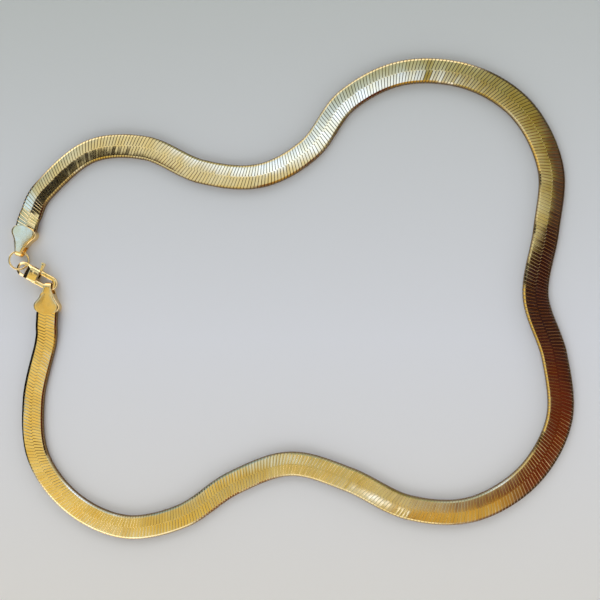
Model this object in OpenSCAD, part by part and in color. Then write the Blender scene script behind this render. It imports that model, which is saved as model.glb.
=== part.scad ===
// Flat herringbone necklace, lying closed on a table. Units are millimetres, +Z up.

/* [Chain] */
// Width of the flat band across its ribs
band_w = 6.2; // [5.6:0.1:6.8]
// Thickness of the band at its middle
band_t = 1.4; // [1.1:0.05:1.5]
// Stations of the band between two route points
band_steps = 5; // [3:1:8]

/* [End caps] */
// Thickness of a cap and its folded loop
cap_t = 2.6; // [2.5:0.05:2.8]
// Length of a cap from the middle of its fold to its wide end
cap_len = 7.1; // [6.8:0.1:7.6]
// Width of the tongue where it is narrowest, behind the fold
neck_w = 1.6; // [1.4:0.1:1.8]
// Radius of the rounded shoulders
shoulder_r = 1.5; // [1.3:0.1:1.7]
// Sheet thickness of the folded loop
fold_wall = 0.35; // [0.3:0.01:0.38]

/* [Clasp] */
// Largest width of the claw body
claw_w = 4.2; // [4:0.05:4.4]
// Thickness of the claw body
claw_t = 2.6; // [2.4:0.1:2.6]
// Width of the hook arm and of the gate
arm_w = 1.15; // [0.95:0.05:1.2]
// Thickness of the hook arm and of the gate
arm_t = 1.2; // [1.0:0.05:1.4]
// Thickness of the lever plate inside the claw
lever_t = 0.84; // [0.6:0.04:0.9]
// Radius of the rivet
rivet_r = 0.38; // [0.3:0.02:0.44]
// Height of the thumb tab above the claw's middle line
tab_h = 4.1; // [3.6:0.1:4.4]

/* [Jump ring] */
// Mean radius of the ring
ring_r = 2.45; // [2.42:0.01:2.5]
// Radius of its wire
ring_wire = 0.26; // [0.22:0.01:0.28]
// Mean radius of the rim round the eye on the claw's tail
eye_r = 1.6; // [1.57:0.01:1.63]
// Width of that rim
rim_w = 0.76; // [0.7:0.02:0.8]
// Thickness of that rim
rim_t = 0.6; // [0.5:0.02:0.64]

/* [Hidden] */
gold = [0.83, 0.66, 0.32];
mid_z = 1.3;           // height of the middle plane of caps and clasp
seat_gap = 0.08;       // between band and cap pocket
slot_gap = 0.08;       // between lever plate and claw slot, each side
pivot_gap = 0.05;      // between rivet and bores
gate_gap = 0.1;        // between gate end and hook tip
cap_wall = 0.44;       // cap wall beside the band

// Upper and lower cap: middle of the fold and heading of the cap from there
upper_at = [-70.54, 14.4];
upper_az = 74;
lower_at = [-62.25, 4.95];
lower_az = -94.5;
// Claw: middle of the tail eye and heading to the hook
claw_at = [-69.55, 9.87];
claw_az = -27.5;

// Route of the band from the upper cap round to the lower cap
route = [[-64, 31], [-51, 41], [-35.5, 41.5], [-20.5, 35], [-5, 33.5], [8, 40], [17.5, 52], [31.5, 58.5],
         [47.5, 57], [60.5, 48.5], [67.5, 34], [66.5, 18.5], [64, 2.5], [68.5, -12.5], [69.5, -28], [62, -42],
         [48.5, -50.5], [33, -50.5], [18, -44], [3, -40.5], [-12, -46], [-25.5, -55], [-41, -58.5],
         [-55.5, -53], [-65.5, -41], [-67, -25.5], [-63.5, -10]];

function along(p, az, d) = p + d * [cos(az), sin(az)];
function unit(v) = v / norm(v);
function smooth(t) = let (u = max(0, min(1, t))) u * u * (3 - 2 * u);
function arc(c, r, a0, a1, n) = [for (i = [0:n]) c + r * [cos(a0 + (a1 - a0) * i / n), sin(a0 + (a1 - a0) * i / n)]];
function angle_of(v) = atan2(v[1], v[0]);

// Band: stations on a smooth curve through the points, then one closed skin
seat_x = cap_len - 1.9;
points = concat([along(upper_at, upper_az, seat_x), along(upper_at, upper_az, cap_len),
                 along(upper_at, upper_az, cap_len + 3.4)],
                route,
                [along(lower_at, lower_az, cap_len + 3.4), along(lower_at, lower_az, cap_len),
                 along(lower_at, lower_az, seat_x)]);
last = len(points) - 1;
function pt(i) = i < 0 ? 2 * points[0] - points[1] : i > last ? 2 * points[last] - points[last - 1] : points[i];
function curve(i, t) = 0.5 * (2 * pt(i) + (pt(i + 1) - pt(i - 1)) * t
                       + (2 * pt(i - 1) - 5 * pt(i) + 4 * pt(i + 1) - pt(i + 2)) * t * t
                       + (3 * pt(i) - pt(i - 1) - 3 * pt(i + 1) + pt(i + 2)) * t * t * t);
stations = [for (i = [0:last - 1], k = [0:band_steps - 1]) curve(i, k / band_steps), points[last]];
end = len(stations) - 1;
function across(i) = let (d = unit(stations[min(i + 1, end)] - stations[max(i - 1, 0)])) [-d[1], d[0]];
function from_end(i) = min(norm(stations[i] - stations[0]), norm(stations[i] - stations[end]));
seat_z = mid_z - band_t / 2;
function lift(i) = seat_z * (1 - smooth((from_end(i) - 2.4) / 10));
// Half of the section as shares of half width and thickness: nearly flat top, rounded rim, flat underside
half_section = [[0.5, 0.985], [0.9, 0.94], [0.975, 0.82], [1, 0.6], [0.975, 0.2], [0.88, 0]];
section = concat([[0, 1]], half_section, [for (k = [5:-1:0]) [-half_section[k][0], half_section[k][1]]]);
ns = len(section);
skin = [for (i = [0:end], q = section) let (p = stations[i] + across(i) * q[0] * band_w / 2)
        [p[0], p[1], lift(i) + q[1] * band_t]];
skin_faces = concat([[for (k = [0:ns - 1]) ns - 1 - k]], [[for (k = [0:ns - 1]) end * ns + k]],
    [for (i = [0:end - 1], k = [0:ns - 1]) let (a = i * ns + k, b = i * ns + (k + 1) % ns) [a, b, b + ns]],
    [for (i = [0:end - 1], k = [0:ns - 1]) let (a = i * ns + k, b = i * ns + (k + 1) % ns) [a, b + ns, a + ns]]);

// Jump ring: middle, heading and lift angle of its steepest radius
ring_at = [-70.73, 12.19, 1.57];
ring_az = 192.6;
ring_tilt = 28.5;
ring_reach = ring_r * sqrt(1 - pow(sin(ring_tilt) * cos(ring_az), 2)) + ring_wire;

// Middle of the whole necklace, which is the origin
rim = [for (i = [0:end], s = [-1, 1]) stations[i] + s * across(i) * band_w / 2];
origin = [(ring_at[0] - ring_reach + max([for (p = rim) p[0]])) / 2,
          (min([for (p = rim) p[1]]) + max([for (p = rim) p[1]])) / 2];

module place(at, az) translate([at[0] - origin[0], at[1] - origin[1], 0]) rotate([0, 0, az]) children();

module herringbone_band() color(gold) translate([-origin[0], -origin[1], 0]) polyhedron(skin, skin_faces);

// Cap outline, drawn in by d: tapered tongue, concave flanks, round shoulders and a bowed wide end
head_w = band_w / 2 + seat_gap + cap_wall;
shoulder = [cap_len - 1.9, head_w - shoulder_r];
neck_x = -2.3;         // where the flanks would run straight, behind the fold
flank_r = (pow(shoulder[0] - neck_x, 2) + pow(neck_w / 2 - shoulder[1], 2) - pow(shoulder_r, 2))
          / (2 * (head_w - neck_w / 2));
flank_at = [neck_x, neck_w / 2 + flank_r];
function flank_y(x) = flank_at[1] - sqrt(pow(flank_r, 2) - pow(x - neck_x, 2));
flank_start = -acos(-neck_x / flank_r);
bow_x = (pow(cap_len - shoulder_r, 2) - pow(shoulder[0], 2) - pow(shoulder[1], 2))
        / (2 * (cap_len - shoulder_r - shoulder[0]));
flank_end = angle_of(shoulder - flank_at);
bow_end = angle_of(shoulder - [bow_x, 0]);
fold_angles = [168, 150, 130, 108];
function cap_side(d) = concat([for (a = fold_angles) let (x = cap_t / 2 * cos(a)) [x, flank_y(x) - d]],
                              arc(flank_at, flank_r + d, flank_start, flank_end * 0.94 + flank_start * 0.06, 8),
                              arc(shoulder, shoulder_r - d, flank_end + 180, bow_end, 8),
                              arc([bow_x, 0], cap_len - bow_x - d, bow_end * 0.75, 0, 3));
function mirrored(half) = [for (k = [len(half) - 2:-1:0]) [half[k][0], -half[k][1]]];
function cap_ring(d) = let (half = cap_side(d)) concat(half, mirrored(half));
// Share of the full thickness at x, less than one on the round fold
function fold_share(x) = x < 0 ? sqrt(1 - pow(2 * x / cap_t, 2)) : 1;
// Height above the middle and inset of the outline, from the underside to the top
cap_levels = [[-1, 0.3], [-0.93, 0.12], [-0.77, 0], [0.77, 0], [0.93, 0.12], [1, 0.3]];
cap_m = len(cap_side(0));
cap_n = 2 * cap_m - 1;
cap_skin = [for (q = cap_levels, p = cap_ring(q[1])) [p[0], p[1], mid_z + q[0] * cap_t / 2 * fold_share(p[0])]];
cap_faces = concat(
    [for (k = [0:cap_m - 3]) for (o = [0, 5 * cap_n]) let (a = o + k, b = o + k + 1, c = o + 2 * cap_m - 3 - k)
     o > 0 ? [a, b, c] : [c, b, a]],
    [for (k = [0:cap_m - 3]) for (o = [0, 5 * cap_n]) let (a = o + k, c = o + 2 * cap_m - 3 - k, d = c + 1)
     o > 0 ? [a, c, d] : [d, c, a]],
    [[cap_m, cap_m - 1, cap_m - 2], [5 * cap_n + cap_m - 2, 5 * cap_n + cap_m - 1, 5 * cap_n + cap_m]],
    [for (i = [0:4], k = [0:cap_n - 1]) let (a = i * cap_n + k, b = i * cap_n + (k + 1) % cap_n)
     [a, b, b + cap_n]],
    [for (i = [0:4], k = [0:cap_n - 1]) let (a = i * cap_n + k, b = i * cap_n + (k + 1) % cap_n)
     [a, b + cap_n, a + cap_n]]);
loop_len = 1.8;        // from the middle of the fold to the end of the hole in the loop
loop_r = cap_t / 2 - fold_wall;

module cap_piece() {
    difference() {
        polyhedron(cap_skin, cap_faces);
        // Hole of the folded loop, right through from side to side
        translate([0, head_w, mid_z]) rotate([90, 0, 0]) linear_extrude(2 * head_w)
            polygon(concat(arc([0, 0], loop_r, 90, 270, 12), arc([loop_len - loop_r / 2, 0], loop_r, -60, 60, 6)));
        // Pocket for the band
        translate([seat_x - seat_gap, -band_w / 2 - seat_gap, mid_z - band_t / 2 - seat_gap])
            cube([cap_len, band_w + 2 * seat_gap, band_t + 2 * seat_gap]);
    }
}

module end_cap_upper() color(gold) place(upper_at, upper_az) cap_piece();
module end_cap_lower() color(gold) place(lower_at, lower_az) cap_piece();

module jump_ring() color(gold) translate([ring_at[0] - origin[0], ring_at[1] - origin[1], ring_at[2]])
    rotate([0, 0, ring_az]) rotate([0, -ring_tilt, 0]) rotate_extrude($fn = 48)
        translate([ring_r, 0]) circle(ring_wire, $fn = 24);

// Claw, drawn along +X from the middle of its tail eye to the hook; the gate is on +Y
body_x = 3.2;          // widest place of the claw body
body_half = 7;         // half length of its oval
rear_x = 1.05;         // rear of the body, where the eye of the tail ends
front_x = 5;           // front of the body, where the eye of the hook starts
dome_len = 1.5;        // length of the rounded rise from the rear to the full thickness
hook_x = 8.65;         // middle of the hook's round end
arm_in = 0.85;         // inner half width of the hook
pivot = [3.4, 0.7];
boss_r = 0.9;
tip_x = 7.3;           // inner corner of the hook tip
bevel = 34.5;          // the tip's end face leans by this from square
body_z = mid_z - claw_t / 2;

function oval(x) = claw_w / 2 * sqrt(max(0, 1 - pow((x - body_x) / body_half, 2)));
// Section of width w and thickness t with corners cut by c
module cut_section(w, t, c) {
    a = w / 2;
    b = t / 2;
    polygon([[-a + c, -b], [a - c, -b], [a, -b + c], [a, b - c], [a - c, b], [-a + c, b], [-a, b - c],
             [-a, -b + c]]);
}
module arm_section() cut_section(arm_w, arm_t, 0.22);
module rim_section() cut_section(rim_w, rim_t, 0.17);
// Straight bar along X from x0 to x1 with its middle line at y
module bar(x0, x1, y) translate([x0, y, mid_z]) rotate([90, 0, 90]) linear_extrude(x1 - x0) arm_section();
// Everything beyond the slanted end face of the hook tip, on the gate's side
module beyond_tip(gap) translate([tip_x, arm_in, 0]) rotate([0, 0, bevel])
    translate([-gap, -4, -1]) cube([8, 10, claw_t + 2]);

// Rise of the body from its rear, as a side view: thin at the eye, full beyond the dome
dome_low = 0.42;
rise = [for (a = [0:18:90]) [rear_x + dome_len * (1 - cos(a)), dome_low + (claw_t / 2 + 0.1 - dome_low) * sin(a)]];
side_view = concat(rise, [[8, claw_t], [8, -claw_t]], [for (k = [len(rise) - 1:-1:0]) [rise[k][0], -rise[k][1]]]);

module claw_body() difference() {
    intersection() {
        translate([0, 0, mid_z]) rotate([0, 90, 0]) rotate_extrude($fn = 48)
            polygon(concat([[0, 0.5]], [for (x = [0.5, 1.4, 2.3, 3.2, 4.1, 5, 5.8, 6.6]) [oval(x), x]], [[0, 6.6]]));
        translate([0, -3, body_z]) cube([8, 6, claw_t]);
        translate([0, 4, mid_z]) rotate([90, 0, 0]) linear_extrude(8) polygon(side_view);
    }
    translate([front_x, -arm_in, -1]) cube([4, 6, claw_t + 2]);
}

// Rim round the tail's eye: half a ring and two straight sides that run into the body
module tail_rim() translate([0, 0, mid_z]) {
    rotate([0, 0, 90]) rotate_extrude(angle = 180, $fn = 48) translate([eye_r, 0]) rim_section();
    for (side = [-1, 1])
        translate([0, side * eye_r, 0]) rotate([90, 0, 90]) linear_extrude(rear_x + 0.9) rim_section();
}

module clasp_claw() color(gold) place(claw_at, claw_az) {
    arm_y = arm_in + arm_w / 2;
    difference() {
        union() {
            claw_body();
            tail_rim();
            bar(4, hook_x, -arm_y);
            translate([hook_x, 0, mid_z]) rotate([0, 0, -90]) rotate_extrude(angle = 180, $fn = 48)
                translate([arm_y, 0]) arm_section();
            intersection() {
                bar(tip_x - 1, hook_x, arm_y);
                beyond_tip(0);
            }
        }
        // Slot for the lever plate, open to the gate's side and to the front
        translate([pivot[0] - boss_r - 0.2, pivot[1] - boss_r - 0.2, mid_z - lever_t / 2 - slot_gap])
            cube([front_x, 6, lever_t + 2 * slot_gap]);
        translate([pivot[0], pivot[1], -1]) cylinder(r = rivet_r + pivot_gap, h = claw_t + 2, $fn = 32);
    }
}

module clasp_lever() color(gold) place(claw_at, claw_az) {
    arm_y = arm_in + arm_w / 2;
    difference() {
        union() {
            translate([pivot[0], pivot[1], mid_z - lever_t / 2]) {
                cylinder(r = boss_r, h = lever_t, $fn = 40);
                linear_extrude(lever_t) polygon([[-0.5, 0.65], [0.4, 0.1], [2.3, 0.35], [2.3, 1.15], [1.9, 1.25],
                    [1.65, tab_h - 1.5], [1.7, tab_h - 1], [1.45, tab_h - 0.7], [0.75, tab_h - 0.7],
                    [0.5, tab_h - 1], [0.6, tab_h - 1.6], [0.55, 1.3]]);
            }
            difference() {
                bar(front_x + 0.2, tip_x, arm_y);
                beyond_tip(gate_gap);
            }
        }
        translate([pivot[0], pivot[1], -1]) cylinder(r = rivet_r + pivot_gap, h = claw_t + 2, $fn = 32);
    }
}

module lever_rivet() color(gold) place(claw_at, claw_az)
    translate([pivot[0], pivot[1], body_z + 0.02]) cylinder(r = rivet_r, h = claw_t - 0.04, $fn = 32);

herringbone_band();
end_cap_upper();
end_cap_lower();
jump_ring();
clasp_claw();
clasp_lever();
lever_rivet();
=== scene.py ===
import math

import bmesh
import bpy
import numpy as np
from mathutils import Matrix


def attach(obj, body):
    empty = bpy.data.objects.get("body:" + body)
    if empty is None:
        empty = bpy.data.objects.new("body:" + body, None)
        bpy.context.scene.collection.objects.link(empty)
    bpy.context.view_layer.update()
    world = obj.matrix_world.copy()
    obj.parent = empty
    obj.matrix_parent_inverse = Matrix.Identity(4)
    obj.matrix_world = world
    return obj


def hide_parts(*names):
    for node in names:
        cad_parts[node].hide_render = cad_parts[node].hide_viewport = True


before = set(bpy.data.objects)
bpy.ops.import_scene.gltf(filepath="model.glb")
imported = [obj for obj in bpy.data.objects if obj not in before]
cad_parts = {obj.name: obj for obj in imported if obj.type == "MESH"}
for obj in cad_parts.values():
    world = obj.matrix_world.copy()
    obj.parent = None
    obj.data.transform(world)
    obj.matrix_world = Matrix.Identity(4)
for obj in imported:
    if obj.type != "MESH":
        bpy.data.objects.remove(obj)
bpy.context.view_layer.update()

MM = 0.001
SCENE = bpy.context.scene

# Where things lie, as the part's source has them: a place is a point in metres and a heading in degrees
ORIGIN = MM * np.array([-0.081, 0.163])      # middle of the necklace in the route's own frame
UPPER_CAP = (MM * np.array([-70.54, 14.4]), 74.0)
LOWER_CAP = (MM * np.array([-62.25, 4.95]), -94.5)
CLAW = (MM * np.array([-69.55, 9.87]), -27.5)
RING_MIDDLE = MM * np.array([-70.73, 12.19, 1.57])
RING_RADIUS = 2.45 * MM       # to the middle of its wire
RING_WIRE = 0.26 * MM         # the wire's radius
CAP_LENGTH = 7.1 * MM
POCKET_DEPTH = 1.9 * MM       # how far the band reaches into a cap
ROUTE = MM * np.array([
    (-64, 31), (-51, 41), (-35.5, 41.5), (-20.5, 35), (-5, 33.5), (8, 40), (17.5, 52), (31.5, 58.5),
    (47.5, 57), (60.5, 48.5), (67.5, 34), (66.5, 18.5), (64, 2.5), (68.5, -12.5), (69.5, -28), (62, -42),
    (48.5, -50.5), (33, -50.5), (18, -44), (3, -40.5), (-12, -46), (-25.5, -55), (-41, -58.5),
    (-55.5, -53), (-65.5, -41), (-67, -25.5), (-63.5, -10)])
BAND_HALF = 3.1 * MM
BAND_THICK = 1.38 * MM
RIB_PITCH = 0.82 * MM
END_LIFT = 0.6 * MM           # how high the band's ends stand in the caps' pockets
GROOVE_DEEP = 0.17 * MM       # drop below the crown at which a groove's painted shade is fully brown

# Claw, lever and caps, in mm from their own middles
MID = 1.3                     # middle height of all three
PIVOT_X = 3.4
PIVOT_Y = 0.7
ARM_Y = 1.425                 # middle lines of the arm and of the gate, to either side
SLANT = 0.687                 # the split between gate and hook: its x falls by this for each mm of y
SLANT_Y = 0.85                # the y at which the gate and the hook end at these two x
GATE_END_X = 7.18
HOOK_END_X = 7.3
EYE_R = 1.6                   # the tail eye's rim, at its middle line
SQUARENESS = 3.5              # how flat the claw's body is above and below: a higher power is flatter

# Camera: nearly straight above, leaning a little to the right
CAMERA_LEAN = math.radians(8.5)
CAMERA_REACH = 0.2055
CAMERA_AIM = np.array([0.005581, 0.001337, 0.0])


def make_camera():
    """The camera stands at its reach from the point it aims at, leaning from straight above towards +X."""
    data = bpy.data.cameras.new("camera")
    data.lens = 48.0
    data.sensor_width = 36.0
    data.clip_start = 0.01
    camera = bpy.data.objects.new("camera", data)
    lean = np.array([math.sin(CAMERA_LEAN), 0.0, math.cos(CAMERA_LEAN)])
    camera.location = CAMERA_AIM + CAMERA_REACH * lean
    camera.rotation_euler = (0.0, CAMERA_LEAN, 0.0)
    SCENE.collection.objects.link(camera)
    SCENE.camera = camera


# Small geometry kit: every surface is a grid of rings worked out as whole arrays
def turned(points, place):
    """Points drawn along +X from a piece's own middle, moved to its place: with the heading a, x becomes
    x cos a - y sin a and y becomes x sin a + y cos a, and the place's point is added."""
    at, heading = place
    a = math.radians(heading)
    out = np.array(points, float)
    x, y = out[..., 0].copy(), out[..., 1].copy()
    out[..., 0] = at[0] - ORIGIN[0] + x * math.cos(a) - y * math.sin(a)
    out[..., 1] = at[1] - ORIGIN[1] + x * math.sin(a) + y * math.cos(a)
    return out


def metres(skin, place):
    """A skin drawn in mm from its own middle, in metres at its place."""
    points, faces = skin
    return turned(points * MM, place), faces


def loft(rings, closed=False):
    """Skin over rings[i, j]: point j of ring i joins point j + 1 and the same two of ring i + 1.

    An open row of rings gets a flat face at either end, a closed one joins its last ring to its first."""
    m, n = rings.shape[:2]
    i, j = np.meshgrid(np.arange(m if closed else m - 1), np.arange(n), indexing="ij")
    a, b = i * n + j, i * n + (j + 1) % n
    c, d = (i + 1) % m * n + (j + 1) % n, (i + 1) % m * n + j
    faces = np.stack([a, b, c, d], -1).reshape(-1, 4).tolist()
    if not closed:
        faces += [list(range(n))[::-1], list(range((m - 1) * n, m * n))]
    return rings.reshape(-1, 3), faces


def merged(parts):
    """Several skins as one list of points and faces."""
    points, faces, start = [], [], 0
    for p, f in parts:
        points.append(p)
        faces += [[k + start for k in face] for face in f]
        start += len(p)
    return np.concatenate(points), faces


def piece(name, skin, material, body, slot, *nodes, crease=35.0):
    """A finished piece from a skin: faces outwards, smooth up to the crease angle, riding on a body."""
    points, faces = skin
    mesh = bpy.data.meshes.new(name)
    mesh.from_pydata(points.tolist(), [], faces)
    work = bmesh.new()
    work.from_mesh(mesh)
    bmesh.ops.recalc_face_normals(work, faces=work.faces)
    work.to_mesh(mesh)
    work.free()
    mesh.polygons.foreach_set("use_smooth", np.ones(len(mesh.polygons), bool))
    mesh.set_sharp_from_angle(angle=math.radians(crease))
    mesh.materials.append(material)
    made = bpy.data.objects.new(name, mesh)
    SCENE.collection.objects.link(made)
    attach(made, body)
    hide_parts(*nodes)
    return made


def rounded(half_w, half_h, radius, corner, flat, bulge=0.0):
    """Rounded rectangle sections: corner points are the corner's middle plus radius times (cos, sin).

    Top and bottom have flat points more each, evenly spread, and swell by the bulge times one minus the
    squared share of the half width."""
    turn = np.linspace(0, math.pi / 2, corner)
    share = np.linspace(1, -1, flat + 2)[1:-1]
    quarter = [(1, 1, np.cos(turn), np.sin(turn)), (-1, 1, -np.sin(turn), np.cos(turn)),
               (-1, -1, -np.cos(turn), -np.sin(turn)), (1, -1, np.sin(turn), -np.cos(turn))]
    cy, cz, ny, nz = [], [], [], []
    for k, (sy, sz, uy, uz) in enumerate(quarter):
        cy.append(np.full(corner, sy))
        cz.append(np.full(corner, sz))
        ny.append(uy)
        nz.append(uz)
        if k in (0, 2):
            cy.append(share if k == 0 else -share)
            cz.append(np.full(flat, sz))
            ny.append(np.zeros(flat))
            nz.append(np.full(flat, sz))
    cy, cz, ny, nz = (np.concatenate(v).astype(float) for v in (cy, cz, ny, nz))
    half_w, half_h, radius = (np.atleast_1d(v).astype(float)[:, None] for v in (half_w, half_h, radius))
    y = cy * (half_w - radius) + ny * radius
    z = cz * (half_h - radius) + nz * radius
    z = z + np.sign(z) * bulge * (1 - np.clip(y / half_w, -1, 1) ** 2)
    return y, z


def carried(path, half_w, half_h, radius):
    """A rounded section carried along a flat path at middle height: each point is the path's plus the
    section's y along the path's side direction, and its height is the middle height plus the section's z."""
    way = np.gradient(path, axis=0)
    way /= np.linalg.norm(way, axis=1)[:, None]
    side = np.stack([-way[:, 1], way[:, 0]], -1)
    ones = np.ones(len(path))
    y, z = rounded(half_w * ones, half_h * ones, radius * ones, corner=5, flat=2)
    flat = path[:, None, :] + side[:, None, :] * y[..., None]
    return np.concatenate([flat, (MID + z)[..., None]], -1)


# Materials
# Painted shade: brown laid on the gaps between ribs and on their undersides, where shade falls
GROOVE_SHADE_BROWN = (0.16, 0.08, 0.025)
# Painted light and shade: the table's tone goes from near side to far side as the light falls off across it
TABLE_NEAR = (0.89, 0.865, 0.87, 1)
TABLE_MIDDLE = (0.835, 0.855, 0.965, 1)
TABLE_FAR = (0.605, 0.64, 0.67, 1)
TABLE_SHADE_REACH = 0.085     # how far to either side of the middle the table's tone changes, in metres


def gold(name, base, roughness, scuffs, groove=False, tone=False):
    """Polished gold: colour and roughness wander with fine noise, and a fine bump stands for scuffs. With
    groove the gaps between ribs get brown painted shade, and with tone one rib is darker than the next."""
    material = bpy.data.materials.new(name)
    material.use_nodes = True
    nodes = material.node_tree.nodes
    links = material.node_tree.links
    shader = nodes["Principled BSDF"]
    shader.inputs["Metallic"].default_value = 1.0
    place = nodes.new("ShaderNodeTexCoord")

    def noise(scale, detail):
        """Output of a noise in the object's own space, with about this many spots in a metre."""
        node = nodes.new("ShaderNodeTexNoise")
        node.inputs["Scale"].default_value = scale
        node.inputs["Detail"].default_value = detail
        links.new(place.outputs["Object"], node.inputs["Vector"])
        return node.outputs["Fac"]

    def ramp(source, low, high, to_low, to_high):
        """The source's span from low to high, stretched to another span and held at its ends."""
        node = nodes.new("ShaderNodeMapRange")
        for key, value in zip(("From Min", "From Max", "To Min", "To Max"), (low, high, to_low, to_high)):
            node.inputs[key].default_value = value
        links.new(source, node.inputs["Value"])
        return node.outputs["Result"]

    def mixed(factor, first, second):
        """A mix of two colours, each of them a plain colour or another node's output."""
        node = nodes.new("ShaderNodeMix")
        node.data_type = "RGBA"
        links.new(factor, node.inputs["Factor"])
        for socket, value in ((node.inputs[6], first), (node.inputs[7], second)):
            if isinstance(value, tuple):
                socket.default_value = (*value, 1.0)
            else:
                links.new(value, socket)
        return node.outputs[2]

    warm = tuple(c * k for c, k in zip(base, (1.0, 0.93, 0.78)))
    pale = tuple(min(1.0, c * k) for c, k in zip(base, (1.03, 1.06, 1.2)))
    colour = mixed(ramp(noise(scale=260.0, detail=3.0), 0.35, 0.65, 0.0, 1.0), warm, pale)
    if tone:
        told = nodes.new("ShaderNodeAttribute")
        told.attribute_name = "rib_tone"
        dark = tuple(c * 0.72 for c in base)
        colour = mixed(ramp(told.outputs["Fac"], 0.0, 1.0, 0.0, 0.3), colour, dark)
    # Painted shade: the deeper a point lies below the crown, the browner it is painted
    if groove:
        depth = nodes.new("ShaderNodeAttribute")
        depth.attribute_name = "rib_depth"
        colour = mixed(ramp(depth.outputs["Fac"], 0.15, 0.8, 0.0, 0.92), colour, GROOVE_SHADE_BROWN)
    links.new(colour, shader.inputs["Base Color"])
    wander = ramp(noise(scale=900.0, detail=4.0), 0.3, 0.7, roughness * 0.8, roughness * 1.3)
    links.new(wander, shader.inputs["Roughness"])
    bump = nodes.new("ShaderNodeBump")
    bump.inputs["Strength"].default_value = scuffs
    bump.inputs["Distance"].default_value = 0.06 * MM
    links.new(noise(scale=2200.0, detail=3.0), bump.inputs["Height"])
    links.new(bump.outputs["Normal"], shader.inputs["Normal"])
    return material


def pale_table():
    """Matt pale table top: its tone goes from a warmer near side over the middle to a darker far side, which
    is painted light and shade.
    """
    material = bpy.data.materials.new("pale_table")
    material.use_nodes = True
    nodes = material.node_tree.nodes
    links = material.node_tree.links
    shader = nodes["Principled BSDF"]
    shader.inputs["Roughness"].default_value = 0.75
    shader.inputs["Specular IOR Level"].default_value = 0.2
    place = nodes.new("ShaderNodeTexCoord")
    parts = nodes.new("ShaderNodeSeparateXYZ")
    share = nodes.new("ShaderNodeMapRange")
    painted_falloff = nodes.new("ShaderNodeValToRGB")
    share.inputs["From Min"].default_value = -TABLE_SHADE_REACH
    share.inputs["From Max"].default_value = TABLE_SHADE_REACH
    # Painted light and shade: warmer and lighter near, darker far
    stops = painted_falloff.color_ramp.elements
    stops[0].color = TABLE_NEAR
    stops[1].color = TABLE_FAR
    stops.new(0.45).color = TABLE_MIDDLE
    links.new(place.outputs["Object"], parts.inputs["Vector"])
    links.new(parts.outputs["Y"], share.inputs["Value"])
    links.new(share.outputs["Result"], painted_falloff.inputs["Fac"])
    links.new(painted_falloff.outputs["Color"], shader.inputs["Base Color"])
    return material


CHAIN_GOLD = gold("chain_gold", (0.95, 0.76, 0.42), 0.07, 0.01, groove=True, tone=True)
CAP_GOLD = gold("cap_gold", (0.86, 0.66, 0.34), 0.12, 0.08)
CLASP_GOLD = gold("clasp_gold", (0.93, 0.72, 0.37), 0.10, 0.08)


# The band
def eased(t):
    """Smooth step: three t squared less two t cubed, held at 0 and 1 outside."""
    t = np.clip(t, 0, 1)
    return t * t * (3 - 2 * t)


def cap_point(cap, distance):
    """The point at this distance from a cap's own middle, along its heading."""
    at, heading = cap
    a = math.radians(heading)
    return at + distance * np.array([math.cos(a), math.sin(a)])


class Route:
    """The band's middle line: a smooth curve through the points, measured by its length.

    Between two points it is a cubic, whose slope at each is half the step between its neighbours."""

    def __init__(self):
        reach = (CAP_LENGTH - POCKET_DEPTH, CAP_LENGTH, CAP_LENGTH + 3.4 * MM)
        points = np.vstack([[cap_point(UPPER_CAP, d) for d in reach], ROUTE,
                            [cap_point(LOWER_CAP, d) for d in reach[::-1]]])
        before = np.vstack([2 * points[:1] - points[1:2], points[:-1]])
        after = np.vstack([points[1:], 2 * points[-1:] - points[-2:-1]])
        slope = (after - before) / 2
        t = np.linspace(0, 1, 60, endpoint=False)[None, :, None]
        a, b, u, w = points[:-1, None], points[1:, None], slope[:-1, None], slope[1:, None]
        cubic = a + u * t + (3 * (b - a) - 2 * u - w) * t ** 2 + (2 * (a - b) + u + w) * t ** 3
        self.line = np.vstack([cubic.reshape(-1, 2), points[-1:]]) - ORIGIN
        self.at = np.concatenate([[0], np.cumsum(np.linalg.norm(np.diff(self.line, axis=0), axis=1))])
        self.length = self.at[-1]
        way = np.gradient(self.line, axis=0)
        way /= np.linalg.norm(way, axis=1)[:, None]
        self.side = np.stack([-way[:, 1], way[:, 0]], -1)

    def middle(self, s):
        """Points of the middle line at lengths s."""
        return np.stack([np.interp(s, self.at, self.line[:, k]) for k in (0, 1)], -1)

    def across(self, s):
        """Directions straight across the band at lengths s, towards its outer side."""
        return np.stack([np.interp(s, self.at, self.side[:, k]) for k in (0, 1)], -1)

    def lift(self, s):
        """Height of the underside: up in either cap's pocket, and down on the table about 6 mm from the
        upper end and 12 mm from the lower one."""
        upper = eased((s - 1.7 * MM) / (4.5 * MM))
        lower = eased((self.length - s - 2.4 * MM) / (10 * MM))
        return END_LIFT * (1 - np.minimum(upper, lower))


# Half of a rib: share of the half width, then in mm its top's drop below the crown, its underside's height
# and its sway along the band
RIB_HALF = np.array([
    (0.04, 0.0, 0.01, -0.20), (0.70, 0.0, 0.0, 0.45), (0.81, 0.0, 0.03, 0.57), (0.95, 0.105, 0.16, 0.72),
    (1.00, 0.35, 0.42, 0.75)])
# Corners of a rib's section, one edge steep and one gently bevelled: share of the pitch and drop in mm
RIB_EDGE = np.array([(-0.47, 0.08), (-0.41, 0.0), (0.37, 0.0), (0.47, 0.022)])
# How the band rolls to its outer side where it lies: distance along it in mm and degrees
ROLL = np.array([(0, 0.3), (12, 0.4), (24, 0.0), (60, -0.2), (110, 0.2), (122, 0.9), (155, 0.5), (182, 0.3),
                 (194, 2.2), (205, 1.6), (217, 0.5), (229, 0.0), (245, 0.5), (436, 0.5)])
# Small kinks: distance along the band and reach to either side in mm, and slope of the ribs there
KINKS = ((129.5, 0.5, -0.09), (168.0, 0.5, -0.05))
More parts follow.
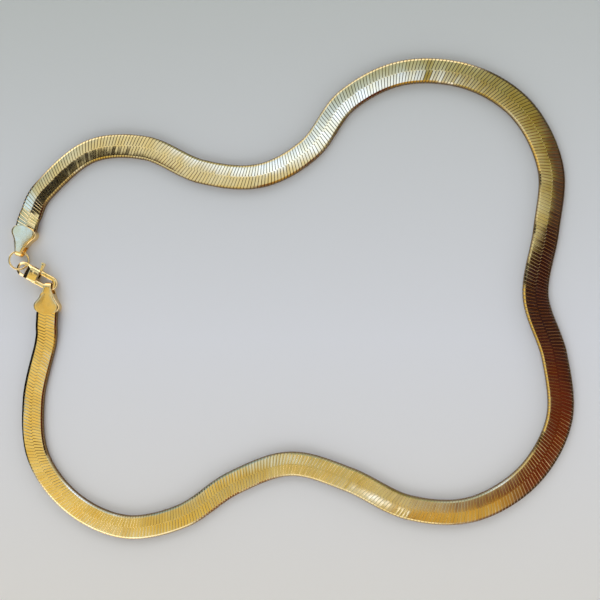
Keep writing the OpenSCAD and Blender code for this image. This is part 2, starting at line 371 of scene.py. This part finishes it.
# How far the ribs stand open: distance along the band in mm, and how many times as deep their bevels are
OPEN = np.array([(0, 1.9), (40, 1.8), (60, 1.3), (130, 1.1), (143, 1.7), (165, 1.6), (185, 1.1), (225, 0.8),
                 (240, 0.6), (300, 0.5), (395, 0.5), (436, 0.7)])
# How far the outer rim has rolled down towards the lower cap: distance along the band and drop, in mm
RIM_FALL = np.array([(393, 0.0), (407, 0.15), (436, 0.3)])
RIM_START = 0.6               # share of the half width at which the rim starts
RIB_CHANCE = 0.003            # usual random lean and roll of a rib, as a slope
RARE_CHANCE = 0.0004          # lean that is added for each cubed unit of chance
CHANCE_MOST = 1.8             # chance is cut off here, in standard deviations


def crown(v):
    """Height of the band's top at share v of the half width: it falls away with a slope, in degrees, of
    0.3 + 2.6 v + 2 v to the fourth, which keeps both halves nearly flat."""
    v = np.abs(v)
    return BAND_THICK - BAND_HALF * np.radians(0.3 * v + 1.3 * v ** 2 + 0.4 * v ** 5)


def woven_band(route):
    """All ribs as one skin. At share v of the half width, rib k lies k + 1/2 pitches and sway(v) along the
    route and v half widths to its side. Its section has a flat top, two small bevels and a flat underside.

    With the skin come two values for each point: its depth below the crown, as a share of a full groove,
    which the chain's material turns into painted shade, and its rib's tone, which is one random share for
    each rib."""
    count = int(round(route.length / RIB_PITCH))
    pitch = route.length / count
    rng = np.random.default_rng(7)
    half = np.vstack([RIB_HALF[::-1] * (-1, 1, 1, -1), RIB_HALF])
    v, low, sway = half[:, 0], MM * half[:, 2], MM * half[:, 3]
    top = crown(v) - MM * half[:, 1]
    along = np.concatenate([RIB_EDGE[:, 0], RIB_EDGE[[-1, 0], 0]])
    upper = len(RIB_EDGE)
    k = np.arange(count)
    middle = (k + 0.5) * pitch
    chance = np.clip(rng.standard_normal(count), -CHANCE_MOST, CHANCE_MOST)
    gape = np.interp(middle / MM, OPEN[:, 0], OPEN[:, 1])
    lean = (RIB_CHANCE * chance + RARE_CHANCE * chance ** 3) * np.minimum(gape, 1)
    for at, reach, slope in KINKS:
        lean += slope * np.exp(-((middle / MM - at) / reach) ** 2)
    roll = np.radians(np.interp(middle / MM, ROLL[:, 0], ROLL[:, 1]))
    roll += RIB_CHANCE * rng.standard_normal(count)
    tilt = (roll[:, None] * v * BAND_HALF)[..., None]
    s = middle[:, None, None] + along * pitch + sway[None, :, None]
    s = np.clip(s, 0.0, route.length)
    flat = route.middle(s) + route.across(s) * (v * BAND_HALF)[None, :, None, None]
    z = np.empty(s.shape)
    z[..., :upper] = top[None, :, None] - MM * gape[:, None, None] * RIB_EDGE[None, None, :, 1]
    z[..., :upper] += lean[:, None, None] * (along[:upper] * pitch) - tilt
    rolled = np.interp(middle / MM, RIM_FALL[:, 0], RIM_FALL[:, 1]) * MM
    rim = np.clip((v - RIM_START) / (1 - RIM_START), 0, 1) ** 1.5
    z[..., :upper] -= rolled[:, None, None] * rim[None, :, None]
    z[..., upper:] = low[None, :, None]
    fall = crown(v)[None, :, None] - z - tilt
    z += route.lift(s)
    rings = np.concatenate([flat, z[..., None]], -1)
    n, m = len(v), len(along)
    one = np.array([(a * m + b, a * m + (b + 1) % m, (a + 1) * m + (b + 1) % m, (a + 1) * m + b)
                    for a in range(n - 1) for b in range(m)])
    ends = np.array([range(m), range((n - 1) * m, n * m)])
    shift = (k * n * m)[:, None, None]
    faces = (one[None] + shift).reshape(-1, 4).tolist() + (ends[None] + shift).reshape(-1, m).tolist()
    # Painted shade: the underside counts as fully deep, so it gets the full groove brown
    depth = np.clip(fall / GROOVE_DEEP, 0, 1)
    depth[..., upper:] = 1.0
    tone = np.broadcast_to(rng.random(count)[:, None, None], depth.shape)
    return (rings.reshape(-1, 3), faces), depth.ravel(), tone.ravel()


def add_value(made, name, values):
    """One number for each point of a piece, for its material to read."""
    field = made.data.attributes.new(name, "FLOAT", "POINT")
    field.data.foreach_set("value", np.ascontiguousarray(values, np.float32))


# End caps
def cap_skin(bulge, lean):
    """Spade-shaped cap, in mm: rings across it follow the flank's circle, the shoulder's circle and the
    end's bow, then turn in over the sheet's edge. The tongue is a strap carried round a half circle from the
    top to the underside."""
    neck = 0.8             # half width where the flank's circle is level
    lead = -2.3            # how far along the cap that is
    start_x = 1.7          # where the body starts, over the tongue
    shoulder_x = 5.2
    shoulder_r = 1.5
    head = 3.62            # half width at the shoulders
    loop_r = 1.09          # the tongue's bend, at the middle of its sheet
    rise = math.tan(math.radians(lean))
    shoulder_y = head - shoulder_r
    # The flank's circle touches the shoulder's from outside
    flank = ((shoulder_x - lead) ** 2 + (neck - shoulder_y) ** 2 - shoulder_r ** 2) / (2 * (head - neck))
    flank_y = neck + flank
    # The bow's circle holds the shoulder's: one smaller by the shoulder's radius meets the shoulder's middle
    end_x = CAP_LENGTH / MM
    inner_x = end_x - shoulder_r
    bow_x = (inner_x ** 2 - shoulder_x ** 2 - shoulder_y ** 2) / (2 * (inner_x - shoulder_x))
    bow = end_x - bow_x
    meet = math.atan2(shoulder_y - flank_y, shoulder_x - lead)
    leave = math.atan2(shoulder_y, shoulder_x - bow_x)
    a = np.linspace(-math.acos((start_x - lead) / flank), meet, 22)
    side = np.stack([lead + flank * np.cos(a), flank_y + flank * np.sin(a)], -1)
    b = np.linspace(meet + math.pi, leave, 26)[1:]
    shoulder = np.stack([shoulder_x + shoulder_r * np.cos(b), shoulder_y + shoulder_r * np.sin(b)], -1)
    side = np.vstack([side, shoulder])
    bend = np.concatenate([np.zeros(22), eased(np.linspace(0, 1, 26)[1:])])
    # Rounded end: the last rings turn in over the sheet's edge and go back into the mouth
    tuck = np.array([(0.0, 0.0), (0.05, 0.07), (0.07, 0.18), (0.0, 0.30), (-0.5, 0.34)])
    side_x = np.concatenate([side[:, 0], side[-1, 0] + tuck[1:, 0]])
    width = np.concatenate([side[:, 1], side[-1, 1] - tuck[1:, 1]])
    full = MID - bulge
    height = np.concatenate([np.full(len(side), full), full - tuck[1:, 1]])
    bend = np.concatenate([bend, np.ones(4)])
    radius = np.concatenate([np.full(len(side), 0.5), [0.46, 0.4, 0.3, 0.26]])
    y, z = rounded(width, height, radius, corner=8, flat=15, bulge=bulge)
    z += np.where(z > 0.5, rise * y, 0)
    drop = bow - np.sqrt(bow ** 2 - y ** 2)
    last = bow - np.sqrt(bow ** 2 - width ** 2)
    x = side_x[:, None] + bend[:, None] * (last[:, None] - drop)
    body = loft(np.stack([x, y, z + MID], -1))
    t = np.linspace(0, math.pi, 25)
    path = np.vstack([[(2.6, 1.0), (2.1, 1.06)], [(x, loop_r) for x in np.linspace(1.6, 0.1, 7)],
                      np.stack([-loop_r * np.sin(t), loop_r * np.cos(t)], -1),
                      [(x, -loop_r) for x in np.linspace(0.1, 1.6, 7)], [(2.1, -1.06), (2.6, -1.0)]])
    way = np.gradient(path, axis=0)
    way /= np.linalg.norm(way, axis=1)[:, None]
    wide = flank_y - np.sqrt(flank ** 2 - (path[:, 0] - lead) ** 2) - 0.01
    sy, sz = rounded(wide, 0.2, 0.16, corner=5, flat=3)
    strap = np.stack([path[:, :1] + way[:, 1:] * -sz, sy, path[:, 1:] + way[:, :1] * sz], -1)
    strap[..., 2] += MID + np.where(strap[..., 2] > 0.5, rise * sy, 0)
    return merged([body, loft(strap)])


# Clasp
def tube_ring(radius, wire, around, section):
    """Torus: point = ((R + r cos b) cos a, (R + r cos b) sin a, r sin b)."""
    a = np.linspace(0, 2 * math.pi, around, endpoint=False)[:, None]
    b = np.linspace(0, 2 * math.pi, section, endpoint=False)[None]
    reach = radius + wire * np.cos(b)
    return np.stack([reach * np.cos(a), reach * np.sin(a), wire * np.sin(b) + 0 * a], -1)


def jump_ring_skin():
    """The wire ring: a torus tilted about its own Y axis, turned to its heading and moved to its middle."""
    rings = tube_ring(RING_RADIUS, RING_WIRE, 96, 18)
    tilt = math.radians(28.5)
    heading = math.radians(192.6)
    x, y, z = rings[..., 0], rings[..., 1], rings[..., 2]
    x, z = x * math.cos(tilt) - z * math.sin(tilt), x * math.sin(tilt) + z * math.cos(tilt)
    x, y = x * math.cos(heading) - y * math.sin(heading), x * math.sin(heading) + y * math.cos(heading)
    middle = RING_MIDDLE - np.array([*ORIGIN, 0])
    return loft(np.stack([x, y, z], -1) + middle, closed=True)


def slanted(rings, split_x):
    """The rings and two more: the last lies on the slanted split between gate and hook, where x falls by the
    slant times y, and the one before it is four fifths of the way there."""
    end = rings[-1].copy()
    end[:, 0] = split_x - SLANT * (end[:, 1] - SLANT_Y)
    near = rings[-1] * 0.2 + end * 0.8
    return np.concatenate([rings, near[None], end[None]])


def claw_skin():
    """Claw, in mm. The body is rings along its length: the half width follows an oval, the half height rises
    straight from the tail and then stays level, and a notch for the lever opens to the gate's side. A flat
    rim carried round a half circle makes the tail's eye, and a rounded section carried round another makes
    the hook."""
    tail_x = 1.05          # where the body starts, behind the eye
    notch_x = 2.3          # where the notch starts and the body is at its full height
    widest = 2.1           # half width, at the oval's middle
    hook_x = 8.65          # middle of the hook's half circle
    x = np.concatenate([np.linspace(tail_x, 2.29, 12), [notch_x], np.linspace(2.45, 4.9, 14), [5.0]])
    half = widest * np.sqrt(1 - ((x - 3.2) / 7.0) ** 2)
    tall = 0.72 + 0.57 * np.clip((x - tail_x) / (notch_x - tail_x), 0, 1)
    # The first and the last ring are smaller, which rounds the body's edges
    half[[0, -1]] -= (0.12, 0.1)
    tall[[0, -1]] -= (0.12, 0.1)
    notch = (x >= notch_x)[:, None]
    t = np.linspace(math.radians(22), math.radians(338), 60)[None]
    y = half[:, None] * np.cos(t)
    z = half[:, None] * np.sin(t)
    z = z / (1 + np.abs(z / tall[:, None]) ** SQUARENESS) ** (1 / SQUARENESS)
    keep = y[:, :1]
    inner = np.where(notch, -0.4, keep - 0.02)
    lip = np.where(notch, 0.5, 0.35 * tall[:, None]) * np.ones((1, 3))
    edge = np.concatenate([keep, (keep + inner) / 2, inner], 1)
    y = np.concatenate([y, edge, edge[:, ::-1]], 1)
    z = np.concatenate([z, -lip, lip], 1)
    body = loft(np.stack([x[:, None] + 0 * y, y, z + MID], -1))
    turn = np.linspace(math.pi / 2, 3 * math.pi / 2, 41)
    path = np.vstack([[(k, EYE_R) for k in (1.9, 1.5, 1.0, 0.5, 0.15)],
                      np.stack([EYE_R * np.cos(turn), EYE_R * np.sin(turn)], -1),
                      [(k, -EYE_R) for k in (0.15, 0.5, 1.0, 1.5, 1.9)]])
    rim = carried(path, 0.38, 0.27, 0.13)
    y, _ = rounded(0.38, 0.27, 0.13, corner=5, flat=2)
    rim[..., 2] += np.where(rim[..., 2] > 1.4, 0.42 * y, 0)
    rim = loft(rim)
    turn = np.linspace(-math.pi / 2, math.pi / 2, 37)
    path = np.vstack([[(k, -ARM_Y) for k in (3.9, 4.4, 4.9, 5.3, 5.7, 6.2, 6.8, 7.4, 8.0, 8.5)],
                      np.stack([hook_x + ARM_Y * np.cos(turn), ARM_Y * np.sin(turn)], -1),
                      [(8.4, ARM_Y), (7.95, ARM_Y)]])
    reach = np.arange(len(path))
    half_h = np.interp(reach, [0, 2, 5, 8, 12], [1.1, 1.05, 0.82, 0.66, 0.6])
    hook = slanted(carried(path, 0.575, half_h, 0.36), HOOK_END_X)
    return merged([body, rim, loft(hook)])


def lever_skin():
    """Lever, in mm: a round boss, a plate in the claw's slot, a gate with a slanted end and a thumb tab."""
    turn = np.linspace(0, 2 * math.pi, 48, endpoint=False)
    boss = [np.stack([PIVOT_X + r * np.cos(turn), PIVOT_Y + r * np.sin(turn), np.full(48, z)], -1)
            for r, z in ((0.45, 0.88), (0.84, 0.88), (0.9, 0.94), (0.9, 1.66), (0.84, 1.72), (0.45, 1.72))]
    boss = loft(np.stack(boss), closed=True)
    plate = carried(np.array([(3.6, 1.3), (4.0, 1.35), (4.6, 1.4), (5.2, 1.42), (5.6, 1.42)]),
                    0.36, 0.42, 0.08)
    gate = carried(np.array([(k, ARM_Y) for k in (5.2, 5.26, 5.38, 5.7, 6.0, 6.2, 6.3)]),
                   np.array([0.46, 0.54, 0.575, 0.575, 0.575, 0.575, 0.575]),
                   np.array([0.48, 0.56, 0.6, 0.6, 0.6, 0.6, 0.6]), 0.34)
    gate = slanted(gate, GATE_END_X)
    tab = carried(np.array([(4.72, 1.7), (4.7, 2.1), (4.66, 2.5), (4.6, 2.9), (4.54, 3.3), (4.5, 3.65),
                            (4.48, 3.9), (4.47, 4.03), (4.47, 4.09)]),
                  np.array([0.66, 0.58, 0.52, 0.52, 0.58, 0.62, 0.58, 0.46, 0.28]),
                  np.array([0.41, 0.41, 0.42, 0.42, 0.42, 0.42, 0.4, 0.34, 0.22]), 0.18)
    return merged([boss, loft(plate), loft(gate), loft(tab)])


def rivet_skin():
    """Pin, in mm, with slightly domed ends: round rings of rising height, small at either end."""
    turn = np.linspace(0, 2 * math.pi, 40, endpoint=False)
    steps = ((0.05, 0.02), (0.2, 0.03), (0.34, 0.05), (0.38, 0.09), (0.38, 2.51), (0.34, 2.55), (0.2, 2.57),
             (0.05, 2.58))
    rings = [np.stack([PIVOT_X + r * np.cos(turn), PIVOT_Y + r * np.sin(turn), np.full(40, z)], -1)
             for r, z in steps]
    return loft(np.stack(rings))


# Light and table
HORIZON = (1.90, 1.90, 1.82)      # light from every side that no field covers
PAST_TABLE = (0.66, 0.67, 0.68)   # what the lens sees past the table's edge
LIGHT_STRENGTH = 1.075


def towards(x_degrees, y_degrees):
    """Unit direction that leans from straight up by these angles towards +X and +Y."""
    d = np.array([math.tan(math.radians(x_degrees)), math.tan(math.radians(y_degrees)), 1.0])
    return d / np.linalg.norm(d)


# Soft round fields of the room's light, where a later one covers an earlier one: lean to +X and +Y, radius
# at full strength and outer radius, all in degrees, and the colour of the light
FIELDS = [
    (0, 0, 40, 62, (0.70, 0.74, 0.66)),
    (-78, 6, 22, 37, (0.02, 0.02, 0.02)),
    (-52, -6, 8, 14, (0.02, 0.02, 0.02)),
    (48, -4, 20, 34, (0.06, 0.04, 0.04)),
    (38, -43, 10, 22, (0.06, 0.04, 0.03)),
    (-58, 17, 15, 21, (0.02, 0.02, 0.02)),
    (38, 42, 12, 22, (0.10, 0.10, 0.08)),
    (2, -30, 7, 14, (0.28, 0.15, 0.06)),
    (12, -38, 9, 18, (0.24, 0.10, 0.05)),
    (-6.4, 16, 5.8, 10.4, (1.05, 1.45, 2.6)),
    (-37.5, 23.4, 4.3, 14.8, (0.32, 0.50, 0.72)),
    (-9.7, 19, 2.0, 6.7, (0.60, 0.86, 1.35)),
    (-25.3, 6.4, 2.7, 3.5, (0.012, 0.012, 0.015)),
    (-23.9, 7.4, 2.5, 2.8, (0.012, 0.012, 0.015)),
    (-21.3, 4.8, 1.5, 2.2, (0.03, 0.025, 0.015)),
    (-33, 5.5, 3.2, 6.0, (0.60, 0.98, 1.75)),
    (-28.7, -7.1, 10, 11, (0.77, 0.64, 0.26)),
    (-29.2, 3.1, 1.5, 2.2, (0.02, 0.02, 0.02)),
    (-17.4, -18.4, 1.8, 10.5, (0.66, 0.52, 0.14)),
    (-9.7, -8.7, 1.4, 14.5, (0.52, 0.465, 0.215)),
    (-17.3, -6.8, 0.7, 6.0, (0.62, 0.73, 0.84)),
    (-4.8, -17.7, 0.5, 1.6, (1.2, 1.4, 1.9)),
    (15.9, 15.6, 7.6, 18.6, (0.28, 0.27, 0.10)),
    (20.9, 11.1, 7.0, 11.0, (0.085, 0.068, 0.07)),
    (16.5, 4, 3.0, 6.5, (0.07, 0.052, 0.058)),
    (11.1, -3.7, 7.5, 9.6, (0.030, 0.012, 0.017)),
    (9.7, -12.8, 2.9, 11.5, (0.12, 0.021, 0.012)),
    (3.3, -19.0, 0.3, 7.7, (0.55, 0.38, 0.10)),
    (-3.7, 30.0, 2.0, 19.3, (0.37, 0.45, 0.37)),
]


def make_light():
    """Soft studio dome: an even pale light from the sides with paler and darker round fields overhead."""
    world = bpy.data.worlds.new("studio")
    SCENE.world = world
    world.use_nodes = True
    nodes = world.node_tree.nodes
    links = world.node_tree.links
    back = nodes["Background"]
    place = nodes.new("ShaderNodeTexCoord")
    colour = None
    for x, y, inner, outer, value in FIELDS:
        dot = nodes.new("ShaderNodeVectorMath")
        dot.operation = "DOT_PRODUCT"
        links.new(place.outputs["Generated"], dot.inputs[0])
        dot.inputs[1].default_value = towards(x, y)
        fade = nodes.new("ShaderNodeMapRange")
        fade.interpolation_type = "SMOOTHSTEP"
        fade.inputs["From Min"].default_value = math.cos(math.radians(outer))
        fade.inputs["From Max"].default_value = math.cos(math.radians(inner))
        links.new(dot.outputs["Value"], fade.inputs["Value"])
        mix = nodes.new("ShaderNodeMix")
        mix.data_type = "RGBA"
        links.new(fade.outputs["Result"], mix.inputs["Factor"])
        if colour is None:
            mix.inputs[6].default_value = (*HORIZON, 1)
        else:
            links.new(colour, mix.inputs[6])
        mix.inputs[7].default_value = (*value, 1)
        colour = mix.outputs[2]
    # Where the lens sees past the table, the studio is one plain pale tone
    ray = nodes.new("ShaderNodeLightPath")
    plain = nodes.new("ShaderNodeMix")
    plain.data_type = "RGBA"
    links.new(ray.outputs["Is Camera Ray"], plain.inputs["Factor"])
    links.new(colour, plain.inputs[6])
    plain.inputs[7].default_value = (*PAST_TABLE, 1)
    links.new(plain.outputs[2], back.inputs["Color"])
    back.inputs["Strength"].default_value = LIGHT_STRENGTH
    SCENE.view_settings.view_transform = "Standard"


def make_table():
    """Wide square top just below the necklace, there for the picture only."""
    mesh = bpy.data.meshes.new("table")
    reach = 1.5
    level = -0.03 * MM
    corners = [(x * reach, y * reach, level) for x, y in ((-1, -1), (1, -1), (1, 1), (-1, 1))]
    mesh.from_pydata(corners, [], [(0, 1, 2, 3)])
    mesh.materials.append(pale_table())
    table = bpy.data.objects.new("table", mesh)
    SCENE.collection.objects.link(table)


make_camera()
make_light()
make_table()

route = Route()
band, depth, tone = woven_band(route)
ribs = piece("woven_ribs", band, CHAIN_GOLD, "necklace", "chain_gold", "herringbone_band", crease=8.0)
add_value(ribs, "rib_depth", depth)
add_value(ribs, "rib_tone", tone)
upper_skin = metres(cap_skin(bulge=0.04, lean=-2.5), UPPER_CAP)
lower_skin = metres(cap_skin(bulge=0.08, lean=0.0), LOWER_CAP)
piece("cap_upper", upper_skin, CAP_GOLD, "necklace", "cap_gold", "end_cap_upper")
piece("cap_lower", lower_skin, CAP_GOLD, "necklace", "cap_gold", "end_cap_lower")
piece("wire_ring", jump_ring_skin(), CLASP_GOLD, "necklace", "clasp_gold", "jump_ring")
piece("claw", metres(claw_skin(), CLAW), CLASP_GOLD, "necklace", "clasp_gold", "clasp_claw")
piece("lever", metres(lever_skin(), CLAW), CLASP_GOLD, "lever", "clasp_gold", "clasp_lever")
piece("rivet", metres(rivet_skin(), CLAW), CLASP_GOLD, "necklace", "clasp_gold", "lever_rivet")
